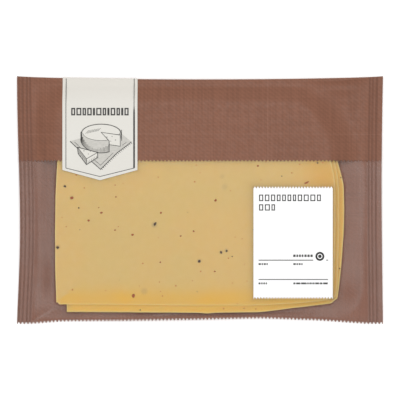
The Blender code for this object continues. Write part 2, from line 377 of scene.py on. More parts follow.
# the brown film is stiffer and bridges the corners of the stack, less so towards its edges
bridging = {"rounds": 4, "below": 8 * mm, "top": (9 * mm, 3 * mm), "sides": (9 * mm, 2 * mm)}
stiff = eased(flatY, bandLow.y + bridging["below"], bandLow.y)
stiff *= eased(flatY, *(topY - inset for inset in bridging["top"]))
stiff *= eased(np.abs(flatX), *(sealInner - inset for inset in bridging["sides"]))
frontField += (np.minimum(softened(frontField, bridging["rounds"]), bagHigh.z) - frontField) * stiff
print("sheets draped, front rises to", round(1000 * float(frontField.max()), 2), "mm")


def aroundFold(x, y):  # sine and cosine of the sheet's turn at the top edge
    radius = foldRadius(x)
    beyond = np.clip((y - topY) / radius, 0, 1.3)
    turned = np.clip((y - topY) / radius + 1, 0, 1)
    angle = np.where(beyond > 0, np.pi / 2 + beyond, np.arcsin(turned))
    return np.sin(angle), np.cos(angle)


def frontPoint(x, y, lift):  # a point of a sheet that lies on the front
    sine, cosine = aroundFold(x, y)
    onBag = np.minimum(y, topY)
    edge = rimHeight(x, onBag)
    rise = readField(frontField, x, onBag) - edge
    laidX, laidY = laidOut(x, onBag)
    radius = foldRadius(x)
    past = np.where(y > topY, radius * (1 - sine), 0)
    return laidX, laidY + lift * sine * (y > topY - radius) - past, edge + (rise + lift) * cosine + crimp(x)


def backPoint(x, y):
    _, cosine = aroundFold(x, y)
    edge = rimHeight(x, y)
    laidX, laidY = laidOut(x, y)
    return laidX, laidY, edge - (edge - readField(backField, x, y)) * cosine + crimp(x)


def paintedWeldShade(x, y):  # the welds are darker, with painted shade deepest in their grooves
    weld = eased(np.abs(x), sealInner + 0.3 * mm, sealInner - 0.5 * mm)
    return bag["weldShade"] * weld + bag["grooveShade"] * grooved(x)


def crossLines():  # on the corners of every tooth, and closer together over the welds
    halfTip = bag["toothTip"] / 2
    corners = [halfTip, 0.5 - halfTip, 0.5 + halfTip, 1 - halfTip]
    close = sorted(corners + [0.25, 0.5, 0.75, 1.0])
    lines = [-halfWidth]
    for tooth in range(bag["teeth"]):
        overWeld = min(tooth, bag["teeth"] - 1 - tooth) < weldTeeth
        lines += [-halfWidth + (tooth + share) * toothPitch for share in (close if overWeld else corners)]
    return lines


def foldLines(start):  # rows up to the top edge, closer together as the fold turns
    outer = [topY - bag["foldRadius"] * share for share in (1.5, 1.0, 0.7, 0.45, 0.25, 0.12, 0.04, 0.0)]
    return evenly(start, outer[0], 1.2 * mm) + outer[1:]


# shader groups shared by the materials

def newGroup(name, inputs, outputs):
    group = bpy.data.node_groups.new(name, "ShaderNodeTree")
    for label, kind, value in inputs:
        socket = group.interface.new_socket(name=label, in_out="INPUT", socket_type=kind)
        if value is not None:
            socket.default_value = value
    for label, kind in outputs:
        group.interface.new_socket(name=label, in_out="OUTPUT", socket_type=kind)
    return group, group.nodes.new("NodeGroupInput"), group.nodes.new("NodeGroupOutput")


def addNode(tree, kind, **settings):
    node = tree.nodes.new(kind)
    for label, value in settings.items():
        setattr(node, label, value)
    return node


def plug(tree, socket, value):  # a link from another node, or a plain value
    if isinstance(value, bpy.types.NodeSocket):
        tree.links.new(value, socket)
    elif value is not None:
        socket.default_value = value


def feed(tree, node, **values):  # plugs a node's inputs by name, spaces left out
    byName = {socket.name.replace(" ", ""): socket for socket in reversed(node.inputs)}
    for label, value in values.items():
        plug(tree, byName[label], value)
    return node


def maths(tree, operation, a, b=None, c=None, clamp=False):
    node = addNode(tree, "ShaderNodeMath", operation=operation, use_clamp=clamp)
    for socket, value in zip(node.inputs, (a, b, c)):
        plug(tree, socket, value)
    return node.outputs[0]


def vectorMaths(tree, operation, a, b=None, output="Vector"):
    node = addNode(tree, "ShaderNodeVectorMath", operation=operation)
    for socket, value in zip(node.inputs, (a, b)):
        plug(tree, socket, value)
    return node.outputs[output]


def ranged(tree, value, low, high, toLow=0.0, toHigh=1.0):
    node = addNode(tree, "ShaderNodeMapRange", interpolation_type="SMOOTHSTEP")
    feed(tree, node, Value=value, FromMin=low, FromMax=high, ToMin=toLow, ToMax=toHigh)
    return node.outputs[0]


def blended(tree, share, first, second):
    node = addNode(tree, "ShaderNodeMix", data_type="RGBA")
    for place, value in ((0, share), (6, first), (7, second)):  # 6 and 7 are its colour inputs
        plug(tree, node.inputs[place], value)
    return node.outputs[2]


def mixedTone(tree, first, firstShare, second, secondShare):
    return maths(tree, "MULTIPLY_ADD", first, firstShare, maths(tree, "MULTIPLY", second, secondShare))


def finished(group, result, **values):
    feed(group, result, **values)
    return group


def noiseValue(tree, place, scale, detail=3.0, stretch=None):
    if stretch:
        mapping = addNode(tree, "ShaderNodeMapping")
        feed(tree, mapping, Vector=place, Scale=stretch)
        place = mapping.outputs[0]
    node = addNode(tree, "ShaderNodeTexNoise")
    feed(tree, node, Vector=place, Scale=scale, Detail=detail)
    return node.outputs[0]


def makeLinenPrint():  # crossing threads with a faint twill and uneven yarns
    group, given, result = newGroup(
        "linenPrint",
        [("Place", "NodeSocketVector", None), ("Thread Scale", "NodeSocketFloat", 1.0)],
        [("Threads", "NodeSocketFloat"), ("Yarns", "NodeSocketFloat")],
    )
    scaled = addNode(group, "ShaderNodeVectorMath", operation="SCALE")
    feed(group, scaled, Vector=given.outputs["Place"], Scale=given.outputs["Thread Scale"])
    spot = scaled.outputs[0]
    tilt = addNode(group, "ShaderNodeMapping")
    feed(group, tilt, Vector=spot, Rotation=(0, 0, math.radians(-52)))
    bands = []
    for vector, direction, scale, wobble, fineness in (
        (spot, "X", 330.0, 0.6, 2.0), (spot, "Y", 330.0, 0.6, 2.0), (tilt.outputs[0], "X", 150.0, 0.8, 1.0),
    ):
        wave = addNode(group, "ShaderNodeTexWave", wave_type="BANDS", bands_direction=direction)
        feed(group, wave, Vector=vector, Scale=scale, Distortion=wobble, Detail=1.0, DetailScale=fineness)
        bands.append(wave.outputs[1])
    warp, weft, twill = bands
    warpYarn = noiseValue(group, spot, 1.0, 2.0, (900, 25, 1))
    weftYarn = noiseValue(group, spot, 1.0, 2.0, (25, 900, 1))
    crossed = maths(group, "MULTIPLY", warp, weft)
    threads = mixedTone(group, crossed, 0.45, twill, 0.55)
    yarns = mixedTone(group, warpYarn, 0.6, weftYarn, 0.4)
    return finished(group, result, Threads=threads, Yarns=yarns)


def makeMottle():  # broad, soft unevenness
    group, given, result = newGroup(
        "softMottle",
        [("Place", "NodeSocketVector", None), ("Size", "NodeSocketFloat", 30.0)],
        [("Broad", "NodeSocketFloat"), ("Fine", "NodeSocketFloat")],
    )
    place = given.outputs["Place"]
    broad = noiseValue(group, place, given.outputs["Size"], 2.0)
    fine = noiseValue(group, place, maths(group, "MULTIPLY", given.outputs["Size"], 14.0), 3.0)
    broad, fine = ranged(group, broad, 0.32, 0.68), ranged(group, fine, 0.25, 0.75)
    return finished(group, result, Broad=broad, Fine=fine)


def makeLabelShade():  # painted shadow round an oblong that lies just above: 1 at its edge, fading outwards
    group, given, result = newGroup(
        "labelShade",
        [("Place", "NodeSocketVector", None), ("Middle", "NodeSocketVector", (0, 0, 0)),
         ("Half Size", "NodeSocketVector", (0, 0, 0)), ("Reach", "NodeSocketFloat", 0.002)],
        [("Shade", "NodeSocketFloat")],
    )
    offset = vectorMaths(group, "SUBTRACT", given.outputs["Place"], given.outputs["Middle"])
    apart = vectorMaths(group, "ABSOLUTE", offset)
    beyond = vectorMaths(group, "SUBTRACT", apart, given.outputs["Half Size"])
    outside = vectorMaths(group, "MAXIMUM", beyond, (0, 0, 0))
    flat = vectorMaths(group, "MULTIPLY", outside, (1, 1, 0))
    away = vectorMaths(group, "LENGTH", flat, output="Value")
    ratio = maths(group, "DIVIDE", away, given.outputs["Reach"])
    return finished(group, result, Shade=maths(group, "EXPONENT", maths(group, "MULTIPLY", ratio, -1.0)))


def makePaperGrain():  # fibres of a coated label
    group, given, result = newGroup(
        "paperGrain",
        [("Place", "NodeSocketVector", None)],
        [("Grain", "NodeSocketFloat"), ("Fibres", "NodeSocketFloat")],
    )
    place = given.outputs["Place"]
    grain = noiseValue(group, place, 1500.0, 3.0)
    fibres = noiseValue(group, place, 1.0, 4.0, (420, 1300, 1))
    return finished(group, result, Grain=grain, Fibres=ranged(group, fibres, 0.35, 0.7))


linenPrint = makeLinenPrint()
softMottle = makeMottle()
paperGrain = makePaperGrain()
labelShade = makeLabelShade()


def newMaterial(name, roughness, specular=0.5):
    material = bpy.data.materials.new(name)
    material.use_nodes = True
    tree = material.node_tree
    shader = tree.nodes["Principled BSDF"]
    feed(tree, shader, Roughness=roughness, SpecularIORLevel=specular)
    place = tree.nodes.new("ShaderNodeTexCoord").outputs["Object"]
    return material, tree, shader, place


def useGroup(tree, group, **values):
    node = addNode(tree, "ShaderNodeGroup", node_tree=group)
    return feed(tree, node, **values)


def bumped(tree, height, distance, strength=1.0):
    node = addNode(tree, "ShaderNodeBump")
    feed(tree, node, Height=height, Distance=distance, Strength=strength)
    return node.outputs[0]


def painted(tree, label):
    return addNode(tree, "ShaderNodeAttribute", attribute_name=label).outputs["Fac"]


# materials

brownPrint = {
    # pressed: the welds' darker tone, with painted shade in their grooves
    "dark": linear(117, 76, 57), "light": linear(139, 92, 71), "pressed": linear(92, 58, 44),
    "sheetDark": linear(124, 79, 59), "sheetLight": linear(148, 96, 73),
    "crease": linear(176, 134, 116), "creaseShare": 0.17,
    # straight creases in the band: across which axis, where, how wide to each side
    "bandCreases": [("X", 42.5 * mm, 0.35 * mm), ("Y", 41.3 * mm, 0.3 * mm)],
    "roughness": (0.38, 0.55), "threadHeight": 0.05 * mm,
}


def makeBrownLinen(name, dark, light, creases):
    material, tree, shader, place = newMaterial(name, 0.45, 0.3)
    linen = useGroup(tree, linenPrint, Place=place)
    mottle = useGroup(tree, softMottle, Place=place, Size=28.0)
    yarns = ranged(tree, linen.outputs["Yarns"], 0.38, 0.62)
    weave = mixedTone(tree, linen.outputs["Threads"], 0.55, yarns, 0.45)
    colour = blended(tree, mixedTone(tree, mottle.outputs["Broad"], 0.16, weave, 0.84), dark, light)
    # darker welds, with painted shade in their grooves
    pressed = maths(tree, "MULTIPLY", painted(tree, "pressed"), 0.5)
    colour = blended(tree, pressed, colour, brownPrint["pressed"])
    axes = feed(tree, addNode(tree, "ShaderNodeSeparateXYZ"), Vector=place)
    for axis, at, halfLine in creases:
        away = maths(tree, "ABSOLUTE", maths(tree, "SUBTRACT", axes.outputs[axis], at))
        line = ranged(tree, away, 0.0, halfLine, brownPrint["creaseShare"], 0.0)
        colour = blended(tree, line, colour, brownPrint["crease"])
    roughness = ranged(tree, mottle.outputs["Fine"], 0, 1, *brownPrint["roughness"])
    threads = bumped(tree, weave, brownPrint["threadHeight"], 0.5)
    feed(tree, shader, BaseColor=colour, Roughness=roughness, Normal=threads)
    return material


cheese = {
    "cool": linear(216, 189, 119), "warm": linear(220, 188, 116), "milky": linear(223, 198, 133),
    # towards the right: partly the rind's own colour, partly painted shade on that side
    "towardsRind": linear(229, 183, 50), "rightRindAndShade": linear(208, 158, 88),
    # painted light: the askew slices' ledge is paler, lifting the shade under the step
    "onLedge": linear(246, 205, 110), "ledgeShare": 0.8,
    # painted light: the cut rim is paler, lifting the shade along the step
    "paintedRimLight": linear(246, 226, 160), "rimShare": 0.6,
    "stain": linear(168, 144, 104),
    "translucence": 0.45, "glowDepth": 3.5 * mm, "glowTint": (1.0, 0.62, 0.22),
    "roughness": (0.34, 0.52), "curdHeight": 0.05 * mm,
    # painted shadow on the paste round the price label, under the band and in steps under the pennant's
    # point:
    # left, right, foot, top, reach, depth
    "shadeTone": linear(96, 74, 44),
    "shades": [
        (priceLow.x, priceHigh.x, priceLow.y, priceHigh.y, 2.0 * mm, 0.34),
        (bandLow.x, bandHigh.x, bandLow.y, bandHigh.y, 1.6 * mm, 0.24),
        (ribbonLow.x, ribbonHigh.x, 18.8 * mm, bandHigh.y, 2.2 * mm, 0.20),
        (ribbonMiddle - 12 * mm, ribbonMiddle + 12 * mm, 15.7 * mm, bandHigh.y, 1.8 * mm, 0.12),
        (ribbonMiddle - 5 * mm, ribbonMiddle + 5 * mm, 13.2 * mm, bandHigh.y, 1.8 * mm, 0.10),
    ],
    # the greenish halo that a large crumb leaves in the paste: x, y, radius, depth
    "stains": [
        (-28.6, -15.6, 2.6, 0.55), (-89.2, -29.6, 2.2, 0.5), (-0.6, -38.2, 2.0, 0.5),
        (13.2, -32.8, 1.9, 0.45), (16.6, -31.6, 1.9, 0.4), (-80.4, 1.3, 2.0, 0.4),
        (-84.6, 8.6, 1.7, 0.35), (-35.0, -57.2, 3.2, 0.3), (15.4, 8.2, 2.8, 0.22), (13.8, 14.8, 2.2, 0.18),
    ],
}


def makeCheese():
    material, tree, shader, place = newMaterial("cheesePaste", 0.42, 0.35)
    mottle = useGroup(tree, softMottle, Place=place, Size=24.0)
    body = blended(tree, mottle.outputs["Broad"], cheese["cool"], cheese["warm"])
    curd = noiseValue(tree, place, 260.0, 4.0)
    body = blended(tree, ranged(tree, curd, 0.35, 0.75, 0.0, 0.25), body, cheese["milky"])
    uneven = ranged(tree, mottle.outputs["Broad"], 0, 1, 0.7, 1.0)
    # deeper towards the rind, and towards the right partly painted shade
    for label in ("towardsRind", "rightRindAndShade"):
        share = maths(tree, "MULTIPLY", painted(tree, label), uneven, clamp=True)
        body = blended(tree, share, body, cheese[label])
    # painted light on the askew slices' ledge and along the cut rim
    for label, share in (("onLedge", cheese["ledgeShare"]), ("paintedRimLight", cheese["rimShare"])):
        body = blended(tree, maths(tree, "MULTIPLY", painted(tree, label), share), body, cheese[label])
    for x, y, radius, depth in cheese["stains"]:
        away = vectorMaths(tree, "DISTANCE", place, (x * mm, y * mm, stackTop), "Value")
        share = ranged(tree, away, 0.2 * radius * mm, radius * mm, depth, 0.0)
        body = blended(tree, share, body, cheese["stain"])
    # painted shadow of the labels and the band, darkening the paste round them
    for left, right, foot, top, reach, depth in cheese["shades"]:
        middle = ((left + right) / 2, (foot + top) / 2, 0)
        halfSize = ((right - left) / 2, (top - foot) / 2, 0)
        shade = useGroup(tree, labelShade, Place=place, Middle=middle, HalfSize=halfSize, Reach=reach)
        body = blended(tree, maths(tree, "MULTIPLY", shade.outputs[0], depth), body, cheese["shadeTone"])
    roughness = ranged(tree, mottle.outputs["Fine"], 0, 1, *cheese["roughness"])
    feed(
        tree, shader, BaseColor=body, Roughness=roughness,
        Normal=bumped(tree, curd, cheese["curdHeight"], 0.4), SubsurfaceWeight=cheese["translucence"],
        SubsurfaceRadius=cheese["glowTint"], SubsurfaceScale=cheese["glowDepth"],
    )
    return material


def makeCrumb(name, dark, light, roughness):
    material, tree, shader, place = newMaterial(name, roughness, 0.3)
    grit = noiseValue(tree, place, 1800.0, 3.0)
    colour = blended(tree, ranged(tree, grit, 0.3, 0.7), dark, light)
    uneven = ranged(tree, grit, 0.3, 0.7, roughness - 0.1, roughness + 0.15)
    feed(tree, shader, BaseColor=colour, Roughness=uneven, Normal=bumped(tree, grit, 0.06 * mm, 0.5))
    return material


film = {
    "veil": linear(226, 212, 206), "veilShade": linear(214, 198, 192),
    "clinging": 0.035,        # how much the film whitens what it touches
    "standing": 0.125,        # and what it stands off from
    "gloss": 0.65, "bend": 1.45,
    "roughness": (0.10, 0.20),
}


def makeClearFilm():
    material, tree, shader, place = newMaterial("clearFilm", 0.14, 0.5)
    mottle = useGroup(tree, softMottle, Place=place, Size=42.0)
    extra = film["standing"] - film["clinging"]
    veil = maths(tree, "MULTIPLY_ADD", painted(tree, "standOff"), extra, film["clinging"])
    veil = maths(tree, "MULTIPLY", veil, ranged(tree, mottle.outputs["Broad"], 0, 1, 0.86, 1.1))
    gloss = feed(tree, addNode(tree, "ShaderNodeFresnel"), IOR=film["bend"])
    share = maths(tree, "MULTIPLY_ADD", gloss.outputs[0], film["gloss"], veil, clamp=True)
    rays = addNode(tree, "ShaderNodeLightPath")  # light falls through it freely
    share = maths(tree, "MULTIPLY", share, maths(tree, "SUBTRACT", 1.0, rays.outputs["Is Shadow Ray"]))
    colour = blended(tree, mottle.outputs["Fine"], film["veil"], film["veilShade"])
    roughness = ranged(tree, mottle.outputs["Fine"], 0, 1, *film["roughness"])
    feed(tree, shader, BaseColor=colour, Roughness=roughness)
    mix = addNode(tree, "ShaderNodeMixShader")
    clear = addNode(tree, "ShaderNodeBsdfTransparent")
    for socket, value in zip(mix.inputs, (share, clear.outputs[0], shader.outputs[0])):
        plug(tree, socket, value)
    feed(tree, tree.nodes["Material Output"], Surface=mix.outputs[0])
    return material


def makePaper(name, plain, shade, roughness, fold):
    material, tree, shader, place = newMaterial(name, roughness, 0.3)
    grain = useGroup(tree, paperGrain, Place=place)
    mottle = useGroup(tree, softMottle, Place=place, Size=30.0)
    share = mixedTone(tree, grain.outputs["Fibres"], 0.25, mottle.outputs["Broad"], 0.35)
    if fold:  # painted shade, a little darker as it turns over the fold
        axes = feed(tree, addNode(tree, "ShaderNodeSeparateXYZ"), Vector=place)
        share = maths(tree, "MAXIMUM", share, ranged(tree, axes.outputs["Y"], *fold))
    uneven = ranged(tree, grain.outputs["Grain"], 0.3, 0.7, roughness - 0.06, roughness + 0.08)
    fibres = bumped(tree, grain.outputs["Grain"], 0.02 * mm, 0.35)
    feed(tree, shader, BaseColor=blended(tree, share, plain, shade), Roughness=uneven, Normal=fibres)
    return material


def makeInk(name, colour, worn):
    material, tree, shader, place = newMaterial(name, 0.5, 0.3)
    grain = useGroup(tree, paperGrain, Place=place)
    uneven = ranged(tree, grain.outputs["Grain"], 0.3, 0.7, 0.42, 0.58)
    feed(tree, shader, BaseColor=blended(tree, grain.outputs["Fibres"], colour, worn), Roughness=uneven)
    return material


brownSheetFilm = makeBrownLinen("brownSheetFilm", brownPrint["sheetDark"], brownPrint["sheetLight"], [])
brownBandFilm = makeBrownLinen(
    "brownBandFilm", brownPrint["dark"], brownPrint["light"], brownPrint["bandCreases"]
)
cheesePaste = makeCheese()
clearFilm = makeClearFilm()
truffleFlesh = makeCrumb("truffleFlesh", linear(50, 34, 24), linear(100, 76, 54), 0.55)
pepperSkin = makeCrumb("pepperSkin", linear(132, 60, 22), linear(186, 100, 40), 0.5)
spiceDust = makeCrumb("spiceDust", linear(190, 112, 54), linear(208, 146, 78), 0.6)
# the ribbon paper darkens towards its fold as painted shade
ribbonPaper = makePaper(
    "ribbonPaper", linear(223, 221, 214), linear(218, 214, 206), 0.55, (ribbonHigh.y - 30 * mm, ribbonHigh.y)
)
pricePaper = makePaper("pricePaper", linear(253, 253, 253), linear(247, 247, 247), 0.45, None)
darkInk = makeInk("darkInk", linear(52, 51, 50), linear(70, 69, 67))
greyInk = makeInk("greyInk", linear(62, 62, 60), linear(88, 88, 86))
priceInk = makeInk("priceInk", linear(30, 30, 30), linear(48, 48, 47))
midInk = makeInk("midInk", linear(112, 110, 106), linear(140, 138, 132))
paleInk = makeInk("paleInk", linear(192, 190, 183), linear(204, 201, 194))
print("materials mixed")


# the back sheet

def gridPiece(name, columns, rows, place, material, floats=None):
    x, y = np.meshgrid(np.array(columns), np.array(rows))
    spots = np.column_stack([part.ravel() for part in place(x, y)])
    extra = {label: of(x, y).ravel() for label, of in (floats or {}).items()}
    return meshPiece(name, spots, gridFaces(len(columns), len(rows)), material, extra)


def thickened(piece, thickness, downwards, sharpAngle=40):
    solid = piece.modifiers.new("thickness", "SOLIDIFY")
    solid.thickness = thickness
    solid.offset = -1 if downwards else 1
    return applied(piece, sharpAngle)


backSheet = {
    "thickness": 0.08 * mm,
    # rows are close together below the stack's edge and towards the fold, wide apart under the slices
    "toothRow": 1.3 * mm, "closeTo": -54 * mm, "closeFrom": 48 * mm, "close": 1.2 * mm, "wide": 6 * mm,
}
columns = crossLines()


def placeBack(x, y):
    laidX, laidY, height = backPoint(x, y)
    return laidX, pinkedEdge(x, y, laidY), height + backSheet["thickness"]


seamLines = [bottomY, bottomY + backSheet["toothRow"]]
backRows = seamLines + evenly(seamLines[-1], backSheet["closeTo"], backSheet["close"])
backRows += evenly(backSheet["closeTo"], backSheet["closeFrom"], backSheet["wide"])
backRows += foldLines(backSheet["closeFrom"])
backPiece = gridPiece("backSheet", columns, backRows, placeBack, brownSheetFilm, {"pressed": paintedWeldShade})
thickened(backPiece, backSheet["thickness"], True)
print("back sheet made")


# the cheese

def rimDepth(points, outline):  # how deep each point lies in the slice, and its nearest rim point
    away = np.hypot(points[:, None, 0] - outline[None, :, 0], points[:, None, 1] - outline[None, :, 1])
    return away.min(1), away.argmin(1)


def rindTint(points, outline, direction, reach):  # the paste is deeper in colour along its rind sides
    facing = np.clip(outwards(outline) @ np.array(direction), 0, 1)
    for _ in range(12):
        facing = evened(facing, 0)
    depth, nearest = rimDepth(points, outline)
    peak = slices["rindPeak"]
    before = 1 - 0.42 * (1 - np.clip(depth / peak, 0, 1)) ** 2
    beyond = np.exp(-(np.clip(depth - peak, 0, None) / reach) ** 2)
    return facing[nearest] * before * beyond


def ledgeLightMask(points, outline):  # painted light: the strip that the askew slices show is paler, most at the stack, where the step shades it
    depth, reach = rimDepth(points, outline)[0], slices["ledgeReach"]
    return (0.55 + 0.45 * eased(depth, 0.5 * reach, 0.2 * reach)) * eased(depth, 0.75 * reach, reach)


def slabPiece(name, outline, top, thickness, strength, ledge, material):
    normals = outwards(outline)
    centre, rounding = outline.mean(0), slices["rounding"]
    # rings from the lower rim round the cut edge to the middle: points, height, how near the rim, which sets
    # the painted rim light
    rings = [
        (outline - normals * inset * rounding, height, rimLightWeight)
        for inset, height, rimLightWeight in (
            (0.55, -thickness, 1.0), (0.0, rounding - thickness, 1.0), (-0.1, -thickness / 2, 1.0),
            (0.0, -rounding, 1.0), (0.3, -0.3 * rounding, 1.0), (1.0, 0.0, 0.8),
        )
    ]
    rings += [(centre + (outline - centre) * scale, 0.0, 0.0) for scale in slices["rings"]]
    spots, rimShare, faces = [], [], []
    for points, height, rimLightWeight in rings:
        for x, y in points:
            spots.append((x, y, top + height + sagAt(x, y)))
            rimShare.append(rimLightWeight)
    count = len(outline)
    for ring in range(len(rings) - 1):
        for k in range(count):
            n = (k + 1) % count
            faces.append((ring * count + k, ring * count + n, (ring + 1) * count + n, (ring + 1) * count + k))
    for ring, order in ((0, -1), (len(rings) - 1, 1)):
        hub = len(spots)
        ringSpots = spots[ring * count:(ring + 1) * count]
        spots.append((centre[0], centre[1], sum(p[2] for p in ringSpots) / count))
        rimShare.append(0.0)
        for k in range(count):
            n = (k + 1) % count
            faces.append((ring * count + k, ring * count + n, hub)[::order])
    spots = np.array(spots)
    lower = rindTint(spots, outline, (0.0, -1.1), slices["lowerReach"])
    right = rindTint(spots, outline, (1.0, 0.0), slices["rightReach"])
    tints = {
        # painted light along the cut rim
        "paintedRimLight": rimShare,
        "towardsRind": strength * np.maximum(lower, 0.85 * right),
        # towards the right: partly rind colour, partly painted shade
        "rightRindAndShade": slices["crustStrength"] * strength * right,
        # painted light on the askew slices' ledge
        "onLedge": ledge * ledgeLightMask(spots, outline) * (1 - 0.55 * right),
    }
    return meshPiece(name, spots, faces, material, tints)


def sagAt(x, y):  # the slices aren't quite flat
    return slices["sag"] * (noise.noise(Vector((x * 14, y * 14, 1.3))) - 0.9) / 1.9


slicePieces = []
for k, outline in enumerate(outlines):
    strength, ledge = slices["rindStrength"][k], 1.0 if k < slices["lower"] else 0.0
    slicePieces.append(
        slabPiece(f"cheeseSlice{k + 1}", outline, sliceTop(k), sliceThickness, strength, ledge, cheesePaste)
    )
print("slices cut:", len(slicePieces))


# crumbs in the cheese

crumbs = {
    "seed": 12,
    "thickness": 0.16 * mm, "proud": 0.045 * mm, "roughness": 0.45,
    "onLedges": 0.4,          # share of the stray ones beside the top slice that stay
    # the largest: x, y, length, width in mm and turn in degrees; spice has x, y and size
    "truffle": [
        (-28.2, -15.1, 2.8, 1.9, 50), (-89.2, -29.8, 2.3, 2.0, -30), (-0.5, -38.3, 2.0, 2.3, 20),
        (13.2, -32.8, 2.3, 1.5, 110), (16.6, -31.9, 1.4, 1.5, 10), (-84.6, 8.6, 2.3, 1.6, -30),
        (-76.0, -5.0, 1.2, 1.2, 0), (73.7, 23.2, 1.2, 1.0, 0), (20.2, -35.4, 1.0, 0.9, 0),
        (51.2, 14.9, 0.9, 0.8, 0), (88.4, 14.0, 0.9, 0.7, 0), (87.6, -43.0, 1.3, 0.8, 60),
        (-37.5, -69.0, 1.2, 0.9, 0), (33.4, -18.6, 0.9, 0.8, 0),
    ],
    "pepper": [
        (-41.8, -60.0, 2.5, 2.6, 0), (-42.3, -21.7, 1.8, 1.7, 0), (-24.5, -8.0, 1.7, 1.6, 0),
        (9.6, -0.2, 2.1, 1.6, 40), (66.9, 10.9, 3.6, 1.4, 25), (36.3, 21.4, 1.7, 1.4, 0),
        (-61.8, -8.0, 2.2, 1.3, 10), (-69.8, -12.9, 1.8, 1.6, 0), (-80.4, 1.3, 2.4, 1.9, 10),
        (-24.9, -39.0, 1.3, 1.1, 0), (9.2, -44.8, 1.4, 1.0, 0), (-4.0, -19.6, 1.4, 1.3, 0),
        (-12.1, -22.6, 1.3, 1.2, 0), (-53.3, -18.8, 1.2, 1.1, 0), (-52.7, 2.0, 1.2, 1.1, 0),
    ],
    "spice": [
        (-86.4, -10.9, 0.8), (-83.8, -16.7, 1.0), (-51.2, -16.7, 0.9), (-35.9, -39.8, 1.2),
        (-80.0, -56.2, 1.4), (-59.1, -56.8, 0.9), (-25.4, -51.4, 0.9), (-24.7, -57.4, 0.9),
        (-23.5, -60.1, 1.2), (-15.1, -53.8, 1.4), (-4.7, -50.6, 0.8), (-37.9, -53.9, 0.8),
        (-77.6, 15.8, 1.2), (-72.6, 7.6, 1.1), (-53.2, 9.4, 1.1), (-48.2, 10.5, 0.7), (-26.1, 14.3, 1.0),
        (-3.3, 11.4, 1.4), (-2.3, 21.9, 1.0), (41.3, 24.0, 1.1), (62.5, 22.4, 1.2), (76.9, 23.4, 1.2),
        (38.3, 12.6, 0.8), (19.2, 5.8, 0.8), (22.0, -23.3, 0.9), (26.4, -24.3, 0.9), (17.8, -36.4, 1.0),
        (20.4, -52.0, 1.0), (29.5, -50.9, 0.8), (23.3, -65.0, 0.9), (14.8, -68.2, 1.2), (27.6, -67.9, 1.0),
        (35.0, -68.4, 1.0), (0.4, -44.8, 1.2),
    ],
    "strayTruffle": 5, "strayPepper": 4, "straySpice": 16,
}


def onTopSlice(x, y):
    return bool(insideOf(np.array([x]), np.array([y]), outlines[-1] * 0.985)[0])


def crumbHeight(x, y):
    for k in reversed(range(slices["count"])):
        if insideOf(np.array([x]), np.array([y]), outlines[k])[0]:
            return sliceTop(k) + sagAt(x, y)
    return None


def addCrumb(shape, x, y, length, width, turn, draw):
    height = crumbHeight(x, y)
    if height is None:
        return
    depth = crumbs["thickness"]
    made = bmesh.ops.create_icosphere(shape, subdivisions=2, radius=0.5)["verts"]
    seed = draw.uniform(0, 50)
    place = Matrix.Translation((x, y, height + crumbs["proud"] - depth / 2)) @ Matrix.Rotation(turn, 4, "Z")
    for vertex in made:
        rough = 1 + crumbs["roughness"] * noise.noise(vertex.co * 3.1 + Vector((seed, 0, 0)))
        spot = Vector((vertex.co.x * length, vertex.co.y * width, vertex.co.z * depth)) * rough
        spot.z = min(spot.z, depth / 2)
        vertex.co = place @ spot


def crumbPiece(name, listed, strays, lengths, material):
    draw = random.Random(crumbs["seed"] + len(name))
    shape = bmesh.new()
    for x, y, length, width, turn in listed:
        addCrumb(shape, x * mm, y * mm, length * mm, width * mm, math.radians(turn), draw)
    low, high = outlines[0].min(0), outlines[0].max(0)
    added = 0
    while added < strays:
        x, y = draw.uniform(low[0], high[0]), draw.uniform(low[1], high[1])
        length = draw.uniform(*lengths) * draw.uniform(0.6, 1.0) * mm
        width, turn = length * draw.uniform(0.6, 1.0), draw.uniform(0, math.pi)
        if not onTopSlice(x, y) and draw.random() < 1 - crumbs["onLedges"]:
            continue
        addCrumb(shape, x, y, length, width, turn, draw)
        added += 1
    mesh = bpy.data.meshes.new(name)
    shape.to_mesh(mesh)
    shape.free()
    return placed(name, mesh, material)


spiceFlakes = [(x, y, size, 0.8 * size, 90 * x) for x, y, size in crumbs["spice"]]
crumbPieces = [
    crumbPiece("truffleCrumbs", crumbs["truffle"], crumbs["strayTruffle"], (0.5, 0.9), truffleFlesh),
    crumbPiece("pepperCrumbs", crumbs["pepper"], crumbs["strayPepper"], (0.6, 1.1), pepperSkin),
    crumbPiece("spiceCrumbs", spiceFlakes, crumbs["straySpice"], (0.7, 1.2), spiceDust),
]
print("crumbs scattered")


# the clear film

filmSheet = {
    "underBand": 10 * mm,     # how far it reaches under the band
    "lift": 0.06 * mm,
    "creaseHeight": 0.45 * mm,
    "gap": (0.45 * mm, 0.04 * mm),        # standing fully off from here, clinging from here
    # slung: extra haze beside the stack, partly painted light over its shade
    "settling": 0.72, "slung": 1.2, "creased": 2.2,
    # the grooves lose haze and show darker: painted shade
    "weldHaze": 0.9, "grooveHaze": 0.8,
    "close": 1.0 * mm, "wide": 4 * mm,    # spacing of its rows
    # places where the film has settled on the back sheet: x, y, reach across, reach up, in mm
    "settled": [
        (-96.5, -50, 5.5, 15), (93.5, -59, 8, 9), (104.6, -38, 2.8, 48), (-104.6, -20, 2.0, 62),
        (-97, -71, 12, 5.0), (8, -73.5, 85, 3.2), (98, -73, 14, 4.5),
    ],
}


